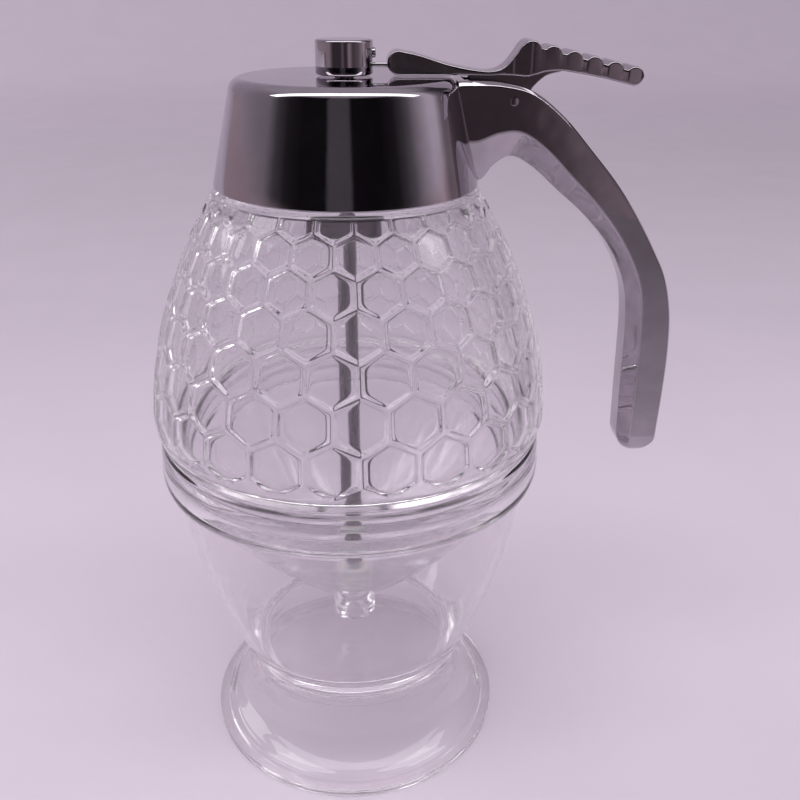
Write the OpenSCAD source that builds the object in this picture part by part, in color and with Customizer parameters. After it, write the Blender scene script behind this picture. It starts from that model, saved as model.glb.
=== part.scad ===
// Honey dispenser: a clear jar with a moulded honeycomb wall and a funnel bottom,
// a chromed cap with a handle and a thumb lever, and a clear pedestal that it rests in.
// The lever lifts a rod whose stopper opens the nozzle. The origin is the middle of the
// foot's underside, +Z is up, and the handle points along +X.

/* [Stand] */
// Radius of the foot where it meets the table
foot_r = 37.8; // [34:0.1:42]
// Height of the upright edge of the foot
foot_edge_h = 2.2; // [1.5:0.1:3.5]
// Radius of the waist between the foot and the cup
waist_r = 27.4; // [22:0.1:29]
// Height of the waist above the table
waist_z = 17.5; // [15:0.5:19]
// Height of the underside of the cup's floor
cup_floor_z = 21.8; // [20.5:0.1:24]
// Thickness of the clear walls of the stand
stand_wall = 2.2; // [1.6:0.1:2.8]
// Height of the rim, where the jar's ledge rests
rim_z = 87; // [83:0.5:92]
// Height of the beaded band round the rim
rim_band_h = 11.4; // [10:0.1:13]
// Outer radius of the beaded band
rim_r = 45; // [44.6:0.1:47]
// Width of the flat top of the rim
rim_land = 2.2; // [1.6:0.1:2.8]

/* [Jar] */
// How far the jar's widest ring stands out over the rim
belly_out = 0.5; // [0.2:0.1:3]
// Height of the jar's widest ring above the rim
belly_rise = 5; // [4:0.1:8]
// Wall thickness of the honeycomb shell
jar_wall = 2.4; // [2.1:0.1:3]
// Height of the joint between shell and funnel above the rim
seam_rise = 2; // [1.5:0.1:3]
// Fullness of the curve of the shell, 2 being an ellipse
shell_power = 1.6; // [1.4:0.05:2]
// Number of honeycomb cells in one row
cells_round = 25; // [18:1:30]
// Largest number of rows of cells, of which those that fit are made
cell_rows = 7; // [4:1:9]
// Depth of a cell's floor below its ridges
cell_depth = 0.8; // [0.3:0.05:1]
// Size of a cell's floor as a share of the cell
cell_floor = 0.82; // [0.7:0.01:0.9]
// Height of a row against a regular hexagon's
cell_squash = 0.935; // [0.85:0.005:0.95]
// Height of the lowest row's middle above the seam
first_row_rise = 7.3; // [7:0.1:9]
// Turn of the honeycomb about the jar's axis in degrees
hive_turn = 6; // [0:0.2:14.4]
// Outer radius of the neck under the cap
neck_r = 22.8; // [21:0.1:23.4]
// Inner radius of the neck
neck_bore_r = 20.2; // [17:0.1:20.6]
// Height of the neck above the shoulder
neck_h = 9.4; // [7:0.1:10]
// Depth of the spigot that centres the jar in the rim
spigot_h = 5; // [3:0.1:6]
// Wall thickness of the funnel
funnel_wall = 2.2; // [1.6:0.1:2.8]

/* [Nozzle] */
// Outer radius of the nozzle
nozzle_r = 5.4; // [4.6:0.1:6.5]
// Bore radius of the nozzle
nozzle_bore_r = 2.8; // [2:0.1:3.2]
// Height of the nozzle's mouth above the table
nozzle_z = 28.5; // [27.5:0.1:31]
// Length of the nozzle below the funnel
nozzle_h = 9.5; // [8:0.1:12]

/* [Cap] */
// Outer radius of the cap at its lower edge
cap_r = 27.9; // [27.5:0.1:29]
// Outer radius of the cap's cone where the round edge starts
cap_top_r = 23.5; // [22.5:0.1:24.5]
// Height of the cap
cap_h = 21.2; // [20:0.1:23]
// Height of the cap's lower edge above the rim
cap_rise = 55; // [54:0.5:58]
// Radius of the cap's round upper edge
cap_edge = 2.8; // [1.5:0.1:3.5]
// Thickness of the cap's top
cap_roof = 2; // [1.6:0.1:2.6]
// Thickness of the seal between the neck and the cap
seal_h = 1.6; // [1:0.1:2.2]
// Free space for the screw thread between neck and cap
thread_space = 1.2; // [1:0.1:1.3]

/* [Handle] */
// Thickness of the handle across the hand
handle_t = 12; // [10:0.5:14]
// Width of the handle's narrow outer strip
strip_w = 10.4; // [8:0.2:11]
// Width of the handle's narrow inner strip
grip_w = 5.6; // [4:0.2:8]
// Height of the handle's lower end above the rim
handle_end_drop = 10; // [6:0.5:14]
// Diameter of the two screws that hold the handle
screw_d = 2.2; // [1.8:0.1:2.4]

/* [Lever] */
// Width of the thumb pad
pad_w = 8; // [7:0.5:12]
// Width of the arm that reaches the knob
arm_w = 6; // [5.5:0.5:8]
// Thickness of the web that stands in the handle's slot
web_w = 4.6; // [3.6:0.1:5]
// Clearance at each side of the web in its slot
slot_gap = 0.2; // [0.1:0.05:0.4]
// Number of grip teeth on the thumb pad
teeth = 6; // [3:1:8]
// Radius of a tooth
tooth_r = 1.9; // [1.6:0.1:2.2]
// Distance of the pivot from the jar's axis
pivot_x = 34; // [33:0.1:35]
// Depth of the pivot below the cap's top
pivot_drop = 4.3; // [4.1:0.1:4.8]
// Diameter of the pivot pin
pivot_d = 2.5; // [2:0.1:2.8]
// Diameter of the steel pin that lifts the knob
lift_pin_d = 1; // [0.8:0.1:1.2]
// Height of the lift pin above the cap's top
lift_pin_rise = 2.1; // [1.9:0.1:2.4]

/* [Plunger] */
// Radius of the rod
rod_r = 2; // [1.6:0.1:2.1]
// Radius of the knob
knob_r = 5.8; // [5.3:0.1:6.5]
// Height of the knob
knob_h = 6.6; // [6:0.1:8]
// Radius of the stopper
stopper_r = 4.2; // [3.8:0.1:4.6]
// Height of the stopper
stopper_h = 8; // [6:0.2:10]
// Depth of the rod in the stopper
stopper_grip = 5; // [3:0.2:5.4]
// Height of the conical seat under the stopper
seat_h = 4; // [3.6:0.1:4.6]
// Outer radius of the spring housing under the cap
housing_r = 8; // [7.2:0.1:9]
// Length of the spring housing
housing_h = 28; // [24:0.5:32]
// Wall of the spring housing
housing_wall = 1.2; // [0.9:0.1:1.4]
// Radius of the collar that the spring pushes on
collar_r = 5.8; // [5.4:0.1:5.8]
// Height of the collar
collar_h = 2; // [1.5:0.1:3]
// Diameter of the spring's wire
wire_d = 0.8; // [0.6:0.05:1]
// Radius of the spring at the middle of its wire
spring_r = 4.6; // [4:0.1:4.8]
// Turns of the spring
spring_turns = 7; // [5:0.5:8]

/* [Fits] */
// Gap round the rod in its guide
guide_fit = 0.05; // [0.02:0.01:0.1]
// Gap round the pivot pin in the lever
pivot_fit = 0.05; // [0.02:0.01:0.1]
// Gap between parts that stay clear of each other
clear = 0.3; // [0.2:0.05:0.4]

/* [Hidden] */

round_fn = 96;
small_fn = 48;
wide = 200;       // longer than any part, for cuts that run right through
tiny = 0.01;      // lets a cut run just past a face

// Heights
belly_z = rim_z + belly_rise;
seam_z = rim_z + seam_rise;
cap_z = rim_z + cap_rise;
cap_top_z = cap_z + cap_h;
neck_top_z = cap_z - clear + neck_h;
seal_top_z = neck_top_z + seal_h;
roof_z = cap_top_z - cap_roof;

function lerp(a, b, t) = a + (b - a) * t;

// Smooth curve through points: four points and a share of the middle stretch
function spline(p, i, t) =
    let (n = len(p) - 1,
         a = p[max(i - 1, 0)], b = p[i], c = p[min(i + 1, n)], d = p[min(i + 2, n)])
    0.5 * ((2 * b) + (c - a) * t + (2 * a - 5 * b + 4 * c - d) * t * t
           + (3 * b - a - 3 * c + d) * t * t * t);

function smooth(p, steps) = concat(
    [for (i = [0 : len(p) - 2]) for (k = [0 : steps - 1]) spline(p, i, k / steps)],
    [p[len(p) - 1]]);

// Points of a round bead that stands out by h between two heights at radius r
function bead(r, z0, z1, h, steps = 6) =
    [for (k = [0 : steps]) [r + h * sin(180 * k / steps), lerp(z0, z1, k / steps)]];

// ---------------------------------------------------------------- stand

bead_h = 0.45;          // how far a round bead stands out
edge = 0.3;             // broken edge of a clear moulding
land_in = 0.5;          // the rim's top is this much slimmer than its widest bead
foot_border = 3;        // width of the foot's upright border
foot_lift = 1.3;        // rise of the foot inside that border
floor_fillet = 1.2;     // rounding where the cup's floor meets the walls
cup_step = 0.6;         // the cup starts this much outside the waist
rim_low_z = rim_z - rim_band_h;
rim_bore_r = rim_r - land_in - rim_land;
cup_top_r = rim_bore_r + edge;
cup_low_r = waist_r + cup_step;
cup_in_z = cup_floor_z + stand_wall;

// Points part of the way from one profile point to another, given as [x share, z share]
function between(a, b, shares) = [for (s = shares) [lerp(a[0], b[0], s[0]), lerp(a[1], b[1], s[1])]];

// Outside of the cup between its floor and its rim
cup_foot = [cup_low_r, cup_floor_z + cup_step];
cup_head = [cup_top_r, rim_low_z];
cup_outer = smooth(between(cup_foot, cup_head,
    [[0, 0], [0.30, 0.19], [0.70, 0.525], [0.92, 0.838], [1, 1]]), 4);

// The inside runs at the wall's thickness from the outside
cup_inner = [for (i = [len(cup_outer) - 1 : -1 : 3]) [cup_outer[i][0] - stand_wall, cup_outer[i][1]]];

// Upper side of the foot from the waist outward, and its thinner underside
foot_rim = [foot_r - foot_border, foot_edge_h + foot_lift];
foot_top = smooth(between([waist_r, waist_z], foot_rim,
    [[0, 0], [0.14, 0.46], [0.53, 0.81], [1, 1]]), 4);
foot_under = [for (p = foot_top) [p[0] - stand_wall, p[1] - stand_wall * 0.45]];

// The rim's three beads: start and end as shares of the band's height, and their inset
rim_beads = [[0.02, 0.42, 0], [0.45, 0.73, 0.3], [0.75, 0.95, 0.5]];

module stand() {
    color("lightsteelblue", 0.4)
    rotate_extrude($fn = round_fn)
    polygon(concat(
        // the cup's floor from below, and the hollow under the foot
        [[0, cup_floor_z], [waist_r - stand_wall - floor_fillet, cup_floor_z],
         [waist_r - stand_wall, cup_floor_z - floor_fillet]],
        foot_under,
        [[foot_rim[0] + edge, 0], [foot_r - edge, 0], [foot_r, edge],
         [foot_r, foot_edge_h - edge], [foot_r - edge, foot_edge_h],
         [foot_r - foot_border * 0.6, foot_edge_h + edge]],
        // over the foot to the waist and its bead
        [for (i = [len(foot_top) - 1 : -1 : 0]) foot_top[i]],
        bead(waist_r + edge, lerp(waist_z, cup_floor_z, 0.5), cup_floor_z + edge, bead_h),
        cup_outer,
        [for (b = rim_beads)
            let (z0 = lerp(rim_low_z, rim_z, b[0]), z1 = lerp(rim_low_z, rim_z, b[1]))
                each bead(rim_r - bead_h - b[2], z0, z1, bead_h)],
        // the rim's top, its bore and the inside of the cup
        [[rim_r - land_in - edge, rim_z], [rim_bore_r + edge, rim_z], [rim_bore_r, rim_z - edge],
         [rim_bore_r, rim_z - 2 * spigot_h]],
        cup_inner,
        [[cup_low_r - stand_wall - floor_fillet, cup_in_z + edge],
         [cup_low_r - stand_wall - 2 * floor_fillet, cup_in_z], [0, cup_in_z]]));
}

// ---------------------------------------------------------------- jar

spigot_r = rim_bore_r - clear;
ledge_r = rim_r - land_in - 0.1;
spigot_z = rim_z - spigot_h;
nozzle_top_z = nozzle_z + nozzle_h;
seat_width = 2.4;                 // the seat is this much wider at its top than the bore
seat_r = nozzle_bore_r + seat_width;
seat_z = nozzle_top_z - seat_h;
jar_r = rim_r + belly_out;
shoulder_r = cap_r - edge;
shoulder_z = cap_z - clear;

// Outside radius of the shell at a height: a full curve from the belly to the shoulder
function shell_reach(drop, far_r) = drop / pow(1 - pow(far_r / jar_r, shell_power), 1 / shell_power);
up_reach = shell_reach(shoulder_z - belly_z, shoulder_r);
low_reach = shell_reach(belly_rise, ledge_r);
function shell_r(z) = let (u = z > belly_z ? (z - belly_z) / up_reach : (belly_z - z) / low_reach)
    jar_r * pow(1 - pow(min(u, 0.99), shell_power), 1 / shell_power);

// Outside radius of the funnel between its spigot and its nozzle
funnel_top_r = spigot_r - 2 * edge;
function funnel_r(z) = let (u = (spigot_z - z) / (spigot_z - nozzle_top_z))
    nozzle_r + (funnel_top_r - nozzle_r) * pow(1 - pow(max(u, 0), 1.5), 0.9);
funnel_steps = 14;
function funnel_z(k, z0, z1) = lerp(z0, z1, sin(90 * k / funnel_steps));
funnel_in_z = nozzle_top_z + funnel_wall;

// The wall thickens towards the nozzle, where the funnel is steep
function funnel_in(k) = let (z = funnel_z(k, spigot_z, funnel_in_z))
    [max(funnel_r(z - edge) - funnel_wall * (1 + 0.35 * k / funnel_steps), seat_r), z];

module jar_funnel() {
    color("lightcyan", 0.4)
    difference() {
        rotate_extrude($fn = round_fn)
        polygon(concat(
            [[0, nozzle_z], [nozzle_r - edge, nozzle_z], [nozzle_r, nozzle_z + edge]],
            [for (k = [funnel_steps : -1 : 0])
                let (z = funnel_z(k, spigot_z, nozzle_top_z)) [funnel_r(z), z]],
            [[spigot_r, spigot_z + 2 * edge], [spigot_r, rim_z], [ledge_r - edge, rim_z],
             [ledge_r, rim_z + edge], [shell_r(seam_z), seam_z], [shell_r(seam_z) - jar_wall, seam_z],
             [spigot_r - funnel_wall, rim_z - 1], [spigot_r - funnel_wall, spigot_z + 1]],
            [for (k = [0 : funnel_steps]) funnel_in(k)],
            [[seat_r, nozzle_top_z], [0, nozzle_top_z]]));
        // conical seat of the stopper, over the nozzle's bore
        translate([0, 0, seat_z])
            cylinder(r1 = nozzle_bore_r, r2 = seat_r, h = seat_h + tiny, $fn = small_fn);
        translate([0, 0, nozzle_z - 1])
            cylinder(r = nozzle_bore_r, h = nozzle_h, $fn = small_fn);
    }
}

// Honeycomb: rows of hexagons with shared raised ridges, wrapped round the shell.
// A row's middle lies one row height above the last, so cells shrink with the girth.
cell_turn = 360 / cells_round;
function cell_side(z) = shell_r(z) * 2 * PI / cells_round / sqrt(3);
function shell_slope(z) = sqrt(1 + pow(shell_r(z + 0.5) - shell_r(z - 0.5), 2));
hive_top_z = shoulder_z - 1;
function next_z(z, share) = z + share * cell_squash * cell_side(z) / shell_slope(z);
function row_z(j) = j == 0 ? seam_z + first_row_rise
                  : let (z = row_z(j - 1)) next_z(next_z(z, 0.75), 0.75);
row_room = 0.3;         // a row is made if its middle lies at least this far below the shoulder
row_mid = [for (j = [0 : cell_rows - 1]) let (z = row_z(j)) if (z < hive_top_z - row_room) z];
rows = len(row_mid);

// A hexagon's ring of lattice heights: its lower and upper shoulders lie a third of
// the way to the next rows' middles
function above(j) = j + 1 < rows ? row_mid[j + 1] : next_z(next_z(row_mid[j], 0.75), 0.75);
function below(j) = j > 0 ? row_mid[j - 1] : row_mid[0] - (above(0) - row_mid[0]) * 1.03;
function free_z(j, k) =
    k == 0 ? lerp(row_mid[j], below(j), 2 / 3) :
    k == 1 || k == 5 ? lerp(row_mid[j], below(j), 1 / 3) :
    k == 3 ? lerp(row_mid[j], above(j), 2 / 3) : lerp(row_mid[j], above(j), 1 / 3);
// The shoulder cuts the topmost cells off
function lattice_z(j, k) = min(free_z(j, k), hive_top_z);
function lattice_turn(k) = [0, 0.5, 0.5, 0, -0.5, -0.5][k];
function row_turn(j) = j % 2 == 0 ? 0 : 0.5;

function on_shell(turn, z) = let (r = shell_r(z), a = turn * cell_turn)
    [r * cos(a), r * sin(a), z];

// Lattice nodes are kept as zigzag rings: ring g runs under row g, two points a cell
function ring_point(g, m) =
    let (j = min(g, rows - 1),
         top = g > j,
         even = m % 2 == 0,
         low = top ? lattice_z(j, 2) : lattice_z(j, 0),
         high = top ? lattice_z(j, 3) : lattice_z(j, 1))
    // a row's lowest point is at its cells' middles, and its top ring starts half a cell off
    top ? on_shell(row_turn(j) + m / 2, even ? high : low)
        : on_shell(row_turn(j) + m / 2, even ? low : high);

ring_n = 2 * cells_round;
rings = rows + 1;
function ring_id(g, m) = g * ring_n + (m % ring_n + ring_n) % ring_n;

// Ring g's points for row j's cell c: lower three on ring j, upper three on ring j + 1
function ring_shift(g) = row_turn(min(g, rows - 1)) * 2;
function cell_rim(j, c) =
    let (m = 2 * c, s = ring_shift(j) - ring_shift(j + 1))
    [ring_id(j, m), ring_id(j, m + 1), ring_id(j + 1, m + 1 + s),
     ring_id(j + 1, m + s), ring_id(j + 1, m - 1 + s), ring_id(j, m - 1)];

// A cell's floor is flat: a plane at the cell's depth below the shell, square to it at the middle
function dish_z(j) = (lattice_z(j, 0) + lattice_z(j, 3)) / 2;
function floor_point(j, c, k) =
    let (mid = dish_z(j),
         lean = atan(shell_r(mid - 0.5) - shell_r(mid + 0.5)),
         off_turn = k < 6 ? lattice_turn(k) * cell_floor : 0,
         off_z = k < 6 ? (lattice_z(j, k) - mid) * cell_floor : 0,
         r = (shell_r(mid) * cos(lean) - cell_depth - off_z * sin(lean)) / cos(lean) / cos(off_turn * cell_turn),
         a = (row_turn(j) + c + off_turn) * cell_turn)
    [r * cos(a), r * sin(a), mid + off_z];

floor_base = rings * ring_n;
function floor_id(j, c, k) = floor_base + (j * cells_round + c) * 7 + k;
floor_points = [for (j = [0 : rows - 1]) for (c = [0 : cells_round - 1]) for (k = [0 : 6])
    floor_point(j, c, k)];
cell_faces = [for (j = [0 : rows - 1]) for (c = [0 : cells_round - 1])
    let (rim = cell_rim(j, c)) for (k = [0 : 5]) let (n = (k + 1) % 6)
        each [[rim[k], floor_id(j, c, k), floor_id(j, c, n)],
              [rim[k], floor_id(j, c, n), rim[n]],
              [floor_id(j, c, k), floor_id(j, c, 6), floor_id(j, c, n)]]];

// Smooth outside below and above the cells, the neck and the inside, as plain rings
band_h = 1.2;           // height of the smooth band over the seam
low_band = [for (z = [seam_z, seam_z + band_h]) [shell_r(z), z]];
top_band = [[shell_r(shoulder_z - 2 * edge), shoulder_z - 2 * edge], [shoulder_r - 3 * edge, shoulder_z],
            [neck_r + edge, shoulder_z], [neck_r, shoulder_z + edge],
            [neck_r, neck_top_z - edge], [neck_r - edge, neck_top_z], [neck_bore_r + edge, neck_top_z],
            [neck_bore_r, neck_top_z - edge], [neck_bore_r, shoulder_z - 1]];
inner_steps = 9;
inside = [for (k = [inner_steps : -1 : 0])
    let (z = lerp(seam_z, shoulder_z - 1 - jar_wall, k / inner_steps)) [shell_r(z) - jar_wall, z]];
plain = concat(low_band, top_band, inside);
plain_base = floor_base + rows * cells_round * 7;
function plain_id(i, m) = plain_base + i * ring_n + (m % ring_n + ring_n) % ring_n;
plain_points = [for (p = plain) for (m = [0 : ring_n - 1])
    [p[0] * cos(m * cell_turn / 2), p[0] * sin(m * cell_turn / 2), p[1]]];

// Two rings of points joined by a band of triangles
low_rings = len(low_band);
function band(a, b) = [for (m = [0 : ring_n - 1]) each
    [[a(m), b(m + 1), a(m + 1)], [a(m), b(m), b(m + 1)]]];
plain_faces = concat(
    band(function (m) plain_id(0, m), function (m) plain_id(1, m)),
    band(function (m) plain_id(1, m), function (m) ring_id(0, m - ring_shift(0))),
    band(function (m) ring_id(rows, m - ring_shift(rows)), function (m) plain_id(low_rings, m)),
    [for (i = [low_rings : len(plain) - 2])
        each band(function (m) plain_id(i, m), function (m) plain_id(i + 1, m))],
    band(function (m) plain_id(len(plain) - 1, m), function (m) plain_id(0, m)));

module jar_hive() {
    color("azure", 0.4)
    rotate([0, 0, hive_turn])
    polyhedron(
        points = concat(
            [for (g = [0 : rows]) for (m = [0 : ring_n - 1]) ring_point(g, m)],
            floor_points, plain_points),
        faces = concat(cell_faces, plain_faces));
}

module cap_seal() {
    color("whitesmoke")
    translate([0, 0, neck_top_z])
    difference() {
        cylinder(r = neck_r - edge, h = seal_h, $fn = round_fn);
        translate([0, 0, -tiny]) cylinder(r = neck_bore_r + edge, h = seal_h + 2 * tiny, $fn = round_fn);
    }
}

// ---------------------------------------------------------------- cap

cone_h = cap_h - cap_edge;
cone_lean = atan((cap_r - cap_top_r) / cone_h);
edge_steps = 5;
thread_r = neck_r + thread_space;
chamber_wall = 1.9;
chamber_r = cap_top_r - chamber_wall;
// The round edge turns from the cone to the flat top
cap_outer = concat(
    [[cap_r - edge, cap_z], [cap_r, cap_z + edge]],
    [for (k = [0 : edge_steps]) let (a = lerp(cone_lean, 90, k / edge_steps))
        [cap_top_r - cap_edge * cos(cone_lean) + cap_edge * cos(a),
         cap_top_z - cap_edge + cap_edge * sin(a)]]);

module cap_outline() {
    polygon(concat([[0, cap_z]], cap_outer, [[0, cap_top_z]]));
}

module cap_shell() {
    color("dimgray")
    difference() {
        rotate_extrude($fn = round_fn) cap_outline();
        translate([0, 0, cap_z - tiny])
            cylinder(r = thread_r, h = seal_top_z - cap_z + tiny, $fn = round_fn);
        translate([0, 0, cap_z])
            cylinder(r = chamber_r, h = roof_z - cap_z, $fn = round_fn);
        // hole for the rod
        translate([0, 0, cap_z])
            cylinder(r = rod_r + clear, h = cap_h + 1, $fn = small_fn);
        screw_holes();
    }
}

// ---------------------------------------------------------------- handle

handle_end_z = rim_z - handle_end_drop;

// The outer and inner edge of the handle seen from its side, as pairs of points
// [outer x, outer drop, inner x, inner drop], drops measured from the cap's top
edges = [[18, 0.7, 20, 20.6], [25, 0.5, 28.2, 20.5], [31.5, 0.8, 31, 17.3], [38, 2.5, 34.6, 15.6],
         [44.5, 7.2, 39.2, 17.8], [51, 14, 44.8, 22.6], [57.5, 21.3, 50.6, 27.5],
         [62.8, 28.6, 56, 33.2], [67, 35.4, 59.8, 39], [70.4, 41.8, 62.2, 44.8],
         [72.6, 49.6, 63.3, 51.4], [73.6, 59, 63.8, 60], [73.8, 70, 64.2, 70.8]];
end_drop = cap_top_z - handle_end_z;
end_bevel = 4.2;        // height of the bevel round the handle's lower end
stations = concat(smooth(concat(edges, [[73.6, end_drop - end_bevel, 64.7, end_drop - end_bevel]]), 4),
                  [[71.4, end_drop, 67, end_drop]]);
last = len(stations) - 1;

// Section: a narrow outer strip, two bevels, flat sides, two long bevels, a narrow inner strip.
// Widths across the hand are halved, and those of the lower end are smaller.
bevel = 0.045;          // where the flat sides start, as a share from outer to inner edge
crease = [0.57, 0.72];  // where they end, at the root and at the lower end
half_w = [strip_w / 2, handle_t / 2, grip_w / 2];
end_w = half_w - [2.4, 2.6, 0.6];
function station(i) =
    let (s = stations[i], h = i == last ? end_w : half_w, c = lerp(crease[0], crease[1], i / last),
         o = [s[0], cap_top_z - s[1]], n = [s[2], cap_top_z - s[3]],
         at = function (u, v) let (p = lerp(o, n, u)) [p[0], v, p[1]])
    [at(0, -h[0]), at(bevel, -h[1]), at(c, -h[1]), at(1, -h[2]),
     at(1, h[2]), at(c, h[1]), at(bevel, h[1]), at(0, h[0])];
sides = 8;

module handle_body() {
    points = [for (i = [0 : last]) each station(i)];
    skin = [for (i = [0 : last - 1]) for (k = [0 : sides - 1])
        let (a = i * sides + k, b = i * sides + (k + 1) % sides)
            each [[a, a + sides, b], [b, a + sides, b + sides]]];
    polyhedron(points = points, faces = concat(skin,
        [[for (k = [0 : sides - 1]) k]],
        [[for (k = [sides - 1 : -1 : 0]) last * sides + k]]));
}

pivot_z = cap_top_z - pivot_drop;
boss_r = 3;
slot_w = web_w + 2 * slot_gap;
slot_x = 24.2;
slot_room = 2.6;        // room for the web behind its boss when the lever tilts

// Two screws from inside the cap into the handle's root, one in each cheek beside the slot
screw_y = (handle_t + slot_w) / 4;
screw_z = lerp(seal_top_z, roof_z, 0.56);
screw_len = 7;
head_d = 1.8 * screw_d;
head_h = 1.2;
head_x = sqrt(pow(chamber_r, 2) - pow(screw_y + head_d / 2, 2));   // the head's seat on the round wall

module at_screws() {
    for (y = [-screw_y, screw_y]) translate([head_x, y, screw_z]) rotate([0, 90, 0]) children();
}

module screw_holes() {
    at_screws() cylinder(d = screw_d, h = screw_len, $fn = small_fn);
}

module handle() {
    color("slategray")
    difference() {
        handle_body();
        rotate_extrude($fn = round_fn) cap_outline();
        translate([0, 0, cap_z - wide / 2 + tiny]) cylinder(r = cap_r, h = wide / 2, $fn = round_fn);
        // slot for the lever's web
        translate([slot_x, -slot_w / 2, pivot_z - boss_r - clear])
            cube([pivot_x + boss_r + slot_room - slot_x, slot_w, wide / 10]);
        // bore of the pivot pin, a press fit in the cheeks
        translate([pivot_x, 0, pivot_z]) rotate([90, 0, 0])
            cylinder(d = pivot_d, h = handle_t + 2, center = true, $fn = small_fn);
        screw_holes();
    }
}

module handle_screws() {
    color("silver")
    at_screws() {
        difference() {
            translate([0, 0, -head_h]) cylinder(d = head_d, h = head_h, $fn = small_fn);
            translate([-head_d, -head_d / 10, -head_h - tiny]) cube([2 * head_d, head_d / 5, head_h / 2]);
        }
        translate([0, 0, -tiny]) cylinder(d = screw_d, h = screw_len - clear, $fn = small_fn);
    }
}

// ---------------------------------------------------------------- lever

nose_r = 2.35;
nose_x = 10.9;
web_drop = 2.1;         // where the web meets its round boss, below the cap's top
nose_z = cap_top_z + clear + nose_r;
lift_pin_z = cap_top_z + lift_pin_rise;
pad_start = [37.3, cap_top_z + 7 - tooth_r];
pad_end = [58.6, cap_top_z + 2.2 - tooth_r];

// The lever seen from its side, heights measured from the cap's top: the top of the arm from the
// nose to the first tooth, its underside back to the nose, and the underside of the pad
arm_line = [[nose_x, 4.95], [15, 4.15], [21, 2.4], [27, 1.3], [30, 1.2], [32.4, 2.2], [34.4, 4.5], [36, 6.6]];
arm_under = [[40.5, 3.2], [38.6, 0.8], [37.6, clear], [24.6, clear - 0.1], [nose_x, clear]];
pad_under = [[52, -0.1], [46, 0.95], [42.5, 1.2], [40, 0.8], [37, 2.5], [35.6, 4.4]];
// Left edge of the web, and its right edge from the pivot across
web_left = [[24.8, 0.9], [25.4, -0.6]];
web_right = [[boss_r, -pivot_drop], [3.6, -3.2], [4.2, -2.2], [5.8, -0.6], [7.4, 0.4], [10, 1], [10, 1.6]];

function up(p) = [for (q = p) [q[0], cap_top_z + q[1]]];

module side_view(w) {
    rotate([90, 0, 0]) linear_extrude(height = w, center = true) children();
}

module lever() {
    color("gray")
    difference() {
        union() {
            // arm and nose
            side_view(arm_w) {
                translate([nose_x, nose_z]) circle(r = nose_r, $fn = small_fn);
                polygon(up(concat(smooth(arm_line, 4), arm_under)));
            }
            // web down to the pivot
            side_view(web_w) {
                polygon(up(concat(web_left, [[pivot_x - boss_r, -web_drop], [pivot_x, -pivot_drop]],
                                  [for (p = web_right) p + [pivot_x, 0]])));
                translate([pivot_x, pivot_z]) circle(r = boss_r, $fn = small_fn);
            }
            // thumb pad with its teeth
            side_view(pad_w) {
                for (k = [0 : teeth - 1])
                    translate(lerp(pad_start, pad_end, k / (teeth - 1))) circle(r = tooth_r, $fn = small_fn);
                polygon(concat([pad_start + [0, tooth_r - 1], pad_end + [0, tooth_r - 1],
                                pad_end + [-0.2, -tooth_r + 0.05]],
                        up(pad_under)));
            }
        }
        translate([pivot_x, 0, pivot_z]) rotate([90, 0, 0])
            cylinder(d = pivot_d + 2 * pivot_fit, h = wide, center = true, $fn = small_fn);
        translate([nose_x - nose_r - 1, 0, lift_pin_z]) rotate([0, 90, 0])
            cylinder(d = lift_pin_d, h = nose_r + 1 + pin_grip, $fn = small_fn);
    }
}

pin_grip = 3;         // depth of the pin past the middle of the nose
slot_floor = 0.6;     // metal left between the knob's slot and the rod
pin_tip = rod_r + slot_floor + clear + 0.1;
module lift_pin() {
    color("silver")
    translate([pin_tip, 0, lift_pin_z]) rotate([0, 90, 0])
        cylinder(d = lift_pin_d, h = nose_x + pin_grip - pin_tip, $fn = small_fn);
}

module pivot_pin() {
    color("silver")
    translate([pivot_x, 0, pivot_z]) rotate([90, 0, 0])
        cylinder(d = pivot_d, h = handle_t, center = true, $fn = small_fn);
}

// ---------------------------------------------------------------- plunger

knob_z = cap_top_z + clear;
knob_top_z = knob_z + knob_h;
knob_roof = 1.4;      // metal over the rod's end in the knob
knob_screw_z = knob_z + knob_h * 0.62;
knob_screw_d = 2;
stopper_z = seat_z + clear;                    // lower end of the stopper
rod_low_z = stopper_z + stopper_h - stopper_grip;
rod_high_z = knob_top_z - knob_roof;

module rod() {
    color("dimgray")
    translate([0, 0, rod_low_z]) cylinder(r = rod_r, h = rod_high_z - rod_low_z, $fn = small_fn);
}

module knob() {
    color("silver")
    difference() {
        rotate_extrude($fn = round_fn)
        polygon([[0, knob_z], [knob_r - 0.3, knob_z], [knob_r, knob_z + 0.3],
                 [knob_r, knob_top_z - 0.5], [knob_r - 0.5, knob_top_z], [0, knob_top_z]]);
        translate([0, 0, knob_z - 1]) cylinder(r = rod_r, h = rod_high_z - knob_z + 1, $fn = small_fn);
        // slot that takes the lift pin
        translate([rod_r + slot_floor, -lift_pin_d / 2 - clear, lift_pin_z - lift_pin_d / 2 - 2 * clear])
            cube([knob_r, lift_pin_d + 2 * clear, lift_pin_d + 3 * clear]);
        translate([0, 0, knob_screw_z]) rotate([0, 90, 0])
            cylinder(d = knob_screw_d, h = knob_r + 1, $fn = small_fn);
    }
}

module knob_screw() {
    color("silver")
    translate([rod_r, 0, knob_screw_z]) rotate([0, 90, 0])
        cylinder(d = knob_screw_d, h = knob_r - rod_r + slot_floor, $fn = small_fn);
}

// The stopper's cone runs parallel to its seat, a small gap above it
seat_slope = seat_width / seat_h;
seat_gap = clear * sqrt(1 + pow(seat_slope, 2));
cone_low_r = nozzle_bore_r + clear * seat_slope - seat_gap;
cone_top_z = stopper_z + (stopper_r - cone_low_r) / seat_slope;

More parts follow.
